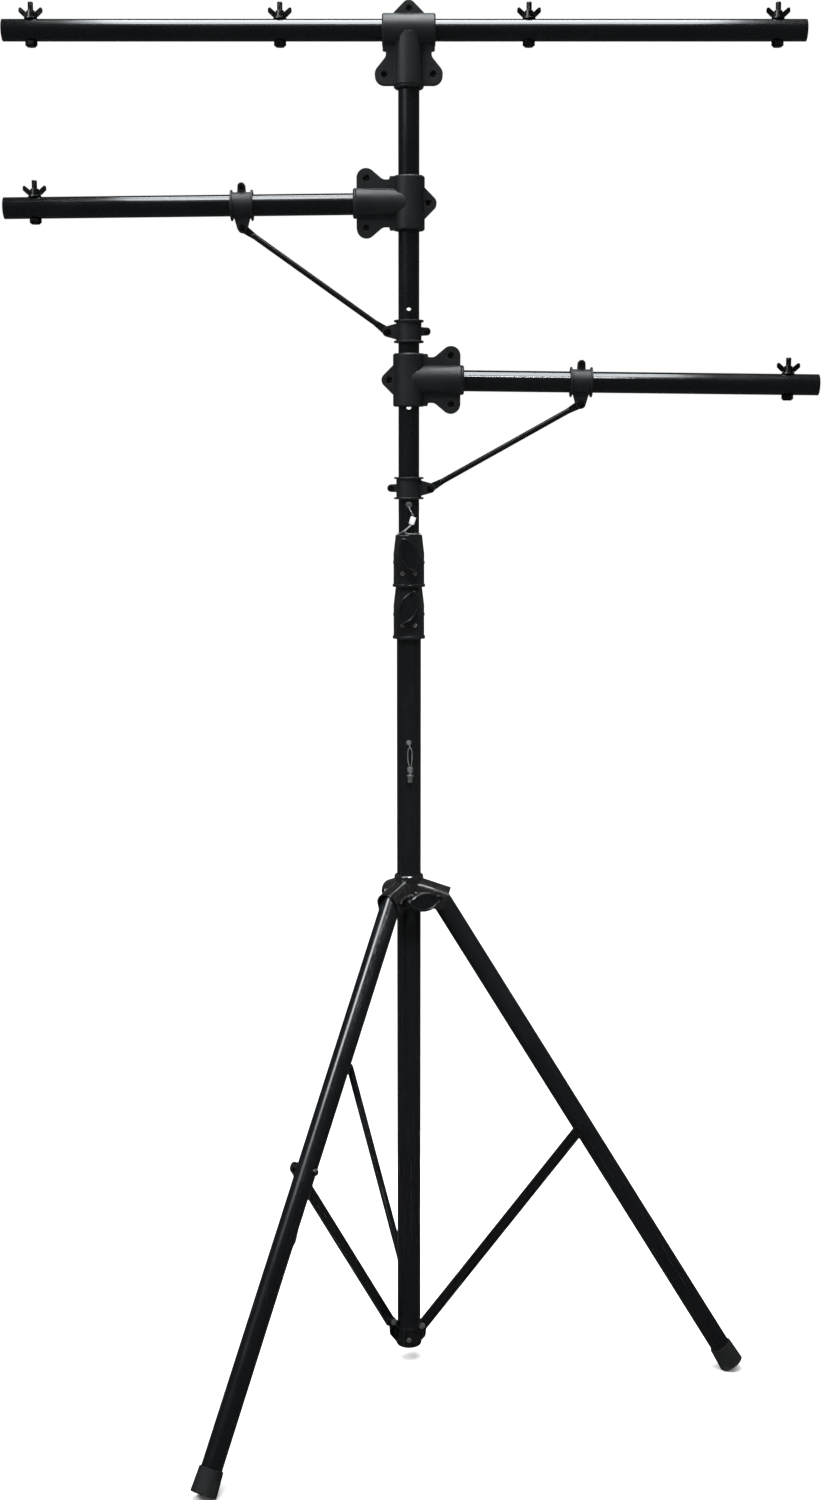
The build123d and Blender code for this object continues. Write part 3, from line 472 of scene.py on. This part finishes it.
def moulding(name, level, gloss, sheen):
    """Moulded nylon with a fine spark-eroded grain, polished where it is handled, and with a painted
    highlight along its edges.
    """
    recipe = Recipe(name)
    clouds = recipe.noise(scale=30.0, detail=4.0)
    grain = recipe.noise(scale=1500.0, detail=2.0, roughness=0.6)
    pits = recipe.add("ShaderNodeTexVoronoi", Vector=recipe.place, Scale=900.0)
    # This edge mask does two things. It lowers the roughness where the nylon is polished, and it
    # paints the edges and rims lighter as a painted highlight in place of glints.
    rubbed = recipe.edges(radius=0.8 * MM, full=0.8)
    specks = recipe.ranged(recipe.noise(scale=300.0, detail=4.0), low=0.45, high=0.75)
    dust = recipe.maths("MULTIPLY", recipe.facing_up(), specks)

    darker = grey(level * 0.8, -level * 0.12)
    lighter = grey(level * 1.25, -level * 0.16)
    colour = recipe.mixed(clouds, darker, lighter)
    colour = recipe.mixed(recipe.faded(dust, 0.08), colour, grey(0.12, 0.002))
    # Painted highlight: edges and rims are mixed towards a lighter grey so that they read as thin
    # glints.
    colour = recipe.mixed(recipe.faded(rubbed, 0.5), colour, grey(level * 6 + 0.02))
    rough = recipe.ranged(clouds, low=0.3, high=0.7, to_low=gloss - 0.05, to_high=gloss + 0.06)
    rough = recipe.maths("SUBTRACT", rough, recipe.faded(rubbed, 0.12))
    recipe.relief([(grain, 0.03 * MM), (pits.outputs["Distance"], 0.012 * MM)], soft_edge=0.7 * MM)
    return recipe.finish(Base_Color=colour, Roughness=rough, Specular_IOR_Level=sheen)


def plated_steel(name, light, dark, gloss, stain, metal):
    """Zinc-plated or bright steel: brushed, mottled, and rubbed bright on its edges."""
    recipe = Recipe(name)
    mottle = recipe.noise(scale=180.0, detail=5.0, roughness=0.6)
    across = recipe.stretched((1, 0, 0), squeeze=0.08)
    brushed = recipe.noise(scale=900.0, detail=2.0, roughness=0.6, place=across)
    rubbed = recipe.edges(radius=0.5 * MM, full=0.8)
    stained = recipe.ranged(mottle, low=0.6, high=0.72, to_high=stain)

    colour = recipe.mixed(recipe.ranged(mottle, low=0.35, high=0.68), grey(dark), grey(light))
    colour = recipe.mixed(stained, colour, grey(dark * 0.5, 0.008))
    colour = recipe.mixed(recipe.faded(rubbed, 0.5), colour, grey(min(0.75, light * 1.9)))
    rough = recipe.ranged(mottle, low=0.3, high=0.7, to_low=gloss - 0.06, to_high=gloss + 0.10)
    recipe.relief([(brushed, 0.006 * MM), (mottle, 0.012 * MM)], soft_edge=0.25 * MM)
    return recipe.finish(Base_Color=colour, Metallic=metal, Roughness=rough)


def rubber(name):
    """Moulded rubber, greyed on the sole and with a fine cloudy bloom."""
    recipe = Recipe(name)
    bloom = recipe.noise(scale=70.0, detail=6.0, roughness=0.65)
    grain = recipe.noise(scale=1100.0, detail=2.0)
    height = recipe.add("ShaderNodeSeparateXYZ", Vector=recipe.place).outputs["Z"]
    near_floor = recipe.ranged(height, low=12.0 * MM, high=0.0)
    rubbed = recipe.edges(radius=1.2 * MM, full=0.8)

    colour = recipe.mixed(recipe.ranged(bloom, low=0.35, high=0.7), grey(0.004), grey(0.008, -0.0006))
    colour = recipe.mixed(recipe.faded(rubbed, 0.3), colour, grey(0.02))
    colour = recipe.mixed(recipe.faded(near_floor, 0.4), colour, grey(0.04, 0.002))
    rough = recipe.ranged(bloom, low=0.3, high=0.7, to_low=0.62, to_high=0.8)
    recipe.relief([(grain, 0.05 * MM), (bloom, 0.08 * MM)], soft_edge=0.8 * MM)
    return recipe.finish(Base_Color=colour, Roughness=rough, Specular_IOR_Level=0.25)


def falling_direction(azimuth):
    """The direction of a leg that spreads from the mast towards an azimuth in degrees."""
    angle = math.radians(azimuth)
    reach = math.sin(LEG_SLOPE)
    return (math.cos(angle) * reach, math.sin(angle) * reach, -math.cos(LEG_SLOPE))


def rising_direction(name, azimuth):
    """The direction of a straight piece that rises away from the mast."""
    low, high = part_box(name)
    size = high - low
    reach = math.hypot(size.x, size.y)
    angle = math.radians(azimuth)
    return (math.cos(angle) * reach, math.sin(angle) * reach, size.z)


def slanting_coats():
    """The coats of the legs, braces and struts by node, each scuffed along its own piece."""
    coats = {}
    for letter, azimuth in LEG_AZIMUTHS.items():
        leg = f"leg_{letter}"
        brace = f"brace_{letter}"
        coats[leg] = powder_coat(f"leg_coat_{letter}", falling_direction(azimuth), gloss=0.2)
        coats[brace] = powder_coat(f"brace_coat_{letter}", rising_direction(brace, azimuth), gloss=0.2)
    for side, azimuth in SIDE_AZIMUTHS.items():
        strut = f"{side}_strut"
        coats[strut] = powder_coat(f"{side}_strut_coat", rising_direction(strut, azimuth), gloss=0.22)
    return coats


mast_coat = powder_coat("mast_coat", (0, 0, 1), gloss=0.22)
bar_coat = powder_coat("bar_coat", (1, 0, 0), gloss=0.13)
slanting_coat = slanting_coats()
hub_enamel = enamel("hub_enamel")
fitting_nylon = moulding("fitting_nylon", level=0.0055, gloss=0.45, sheen=0.26)
collar_nylon = moulding("collar_nylon", level=0.0035, gloss=0.18, sheen=0.6)
knob_nylon = moulding("knob_nylon", level=0.002, gloss=0.16, sheen=0.5)
black_zinc = plated_steel("black_zinc", light=0.05, dark=0.015, gloss=0.3, stain=0.4, metal=1.0)
wire_steel = plated_steel("wire_steel", light=0.34, dark=0.14, gloss=0.4, stain=0.5, metal=0.6)
dull_steel = plated_steel("dull_steel", light=0.15, dark=0.06, gloss=0.34, stain=0.4, metal=0.7)
ferrule_metal = plated_steel("ferrule_metal", light=0.75, dark=0.55, gloss=0.35, stain=0.1, metal=0.4)
foot_rubber = rubber("foot_rubber")

DULL_STEEL_NODES = ("base_bolts", "spare_ferrule", "spare_pin", "lanyard_eye", "upper_pin")


def material_for(name):
    """The material that a CAD node is finished in."""
    if name in slanting_coat:
        return slanting_coat[name]
    if name in DULL_STEEL_NODES or name.endswith("collar_screws"):
        return dull_steel
    if name == "upper_ferrule":
        return ferrule_metal
    if name.startswith("foot_"):
        return foot_rubber
    if name == "leg_hub":
        return hub_enamel
    if "bolt" in name or "screws" in name or "wing_nut" in name:
        return black_zinc
    if "fitting" in name or name.endswith("rings"):
        return fitting_nylon
    if name.endswith("collar") or name.endswith("plug"):
        return collar_nylon
    if name.endswith("_knob"):
        return knob_nylon
    return bar_coat if name.endswith("_bar") else mast_coat


HUB_EDGE = 1.4 * MM
HUB_EDGE_SEGMENTS = 3
HUB_EDGE_ANGLE = math.radians(40)

for name, node in NODES.items():
    node.data.materials.clear()
    node.data.materials.append(material_for(name))
rounding = NODES["leg_hub"].modifiers.new("rounded_edges", "BEVEL")
rounding.width = HUB_EDGE
rounding.segments = HUB_EDGE_SEGMENTS
rounding.angle_limit = HUB_EDGE_ANGLE
rounding.harden_normals = True
upper_wire.data.materials.append(wire_steel)
spare_wire.data.materials.append(dull_steel)
for piece in threads:
    piece.data.materials.append(black_zinc)

# ---------------------------------------------------------------- floor and light

FLOOR_HALF = 60.0
FLOOR_CORNERS = ((-1, -1), (1, -1), (1, 1), (-1, 1))
FLOOR_LEVEL = 0.88
LIGHT_TINT = (0.93, 0.97, 1.0)
WORLD_SEEN = 1.0
WORLD_FILL = 0.07

floor_mesh = bpy.data.meshes.new("floor")
floor_places = [(x * FLOOR_HALF, y * FLOOR_HALF, 0) for x, y in FLOOR_CORNERS]
floor_mesh.from_pydata(floor_places, [], [range(len(floor_places))])
floor = link("floor", floor_mesh)
floor.visible_glossy = False
floor_recipe = Recipe("pale_floor")
floor.data.materials.append(
    floor_recipe.finish(Base_Color=grey(FLOOR_LEVEL), Roughness=0.9, Specular_IOR_Level=0.1)
)

# The world is white behind the object and much dimmer as a light, so that black stays black.
world = bpy.data.worlds.new("studio")
world.use_nodes = True
SCENE.world = world
background = world.node_tree.nodes["Background"]
background.inputs["Color"].default_value = grey(1.0)
ray = world.node_tree.nodes.new("ShaderNodeLightPath")
strength = world.node_tree.nodes.new("ShaderNodeMapRange")
strength.inputs["To Min"].default_value = WORLD_FILL
strength.inputs["To Max"].default_value = WORLD_SEEN
world.node_tree.links.new(ray.outputs["Is Camera Ray"], strength.inputs["Value"])
world.node_tree.links.new(strength.outputs[0], background.inputs["Strength"])


def softbox(name, place, aim, size, power, spread=180):
    """A rectangular soft light that points at a spot, narrowed to a spread in degrees."""
    data = bpy.data.lights.new(name, "AREA")
    data.shape = "RECTANGLE"
    data.size, data.size_y = size
    data.energy = power
    data.spread = math.radians(spread)
    data.color = LIGHT_TINT
    lamp = link(name, data)
    lamp.location = place
    lamp.rotation_euler = (Vector(aim) - Vector(place)).to_track_quat("-Z", "Y").to_euler()


def sunlight(name, tilt, power, spread):
    """Even light on the floor that leaves no glint on the black coat."""
    data = bpy.data.lights.new(name, "SUN")
    data.energy = power
    data.angle = math.radians(spread)
    lamp = link(name, data)
    lamp.rotation_euler = (math.radians(tilt), 0, 0)
    lamp.visible_glossy = False


softbox("overhead", place=(0, -0.3, 3.8), aim=(0, -0.3, 0), size=(1.5, 1.85), power=135)
softbox("high_left", place=(-2.7, -2.3, 3.9), aim=(0, 0, 0.6), size=(1.6, 1.2), power=120)
softbox("hub_glint", place=(0.2, -1.7, 3.3), aim=(0, 0, 0.79), size=(0.8, 0.45), power=4.2, spread=16)
softbox("front_fill", place=(0, -2.4, 4.3), aim=(0, 0, 1.6), size=(1.8, 0.9), power=3.5)
sunlight("even_light", tilt=12, power=4.2, spread=95)

SCENE.view_settings.view_transform = "Standard"
SCENE.view_settings.look = "None"
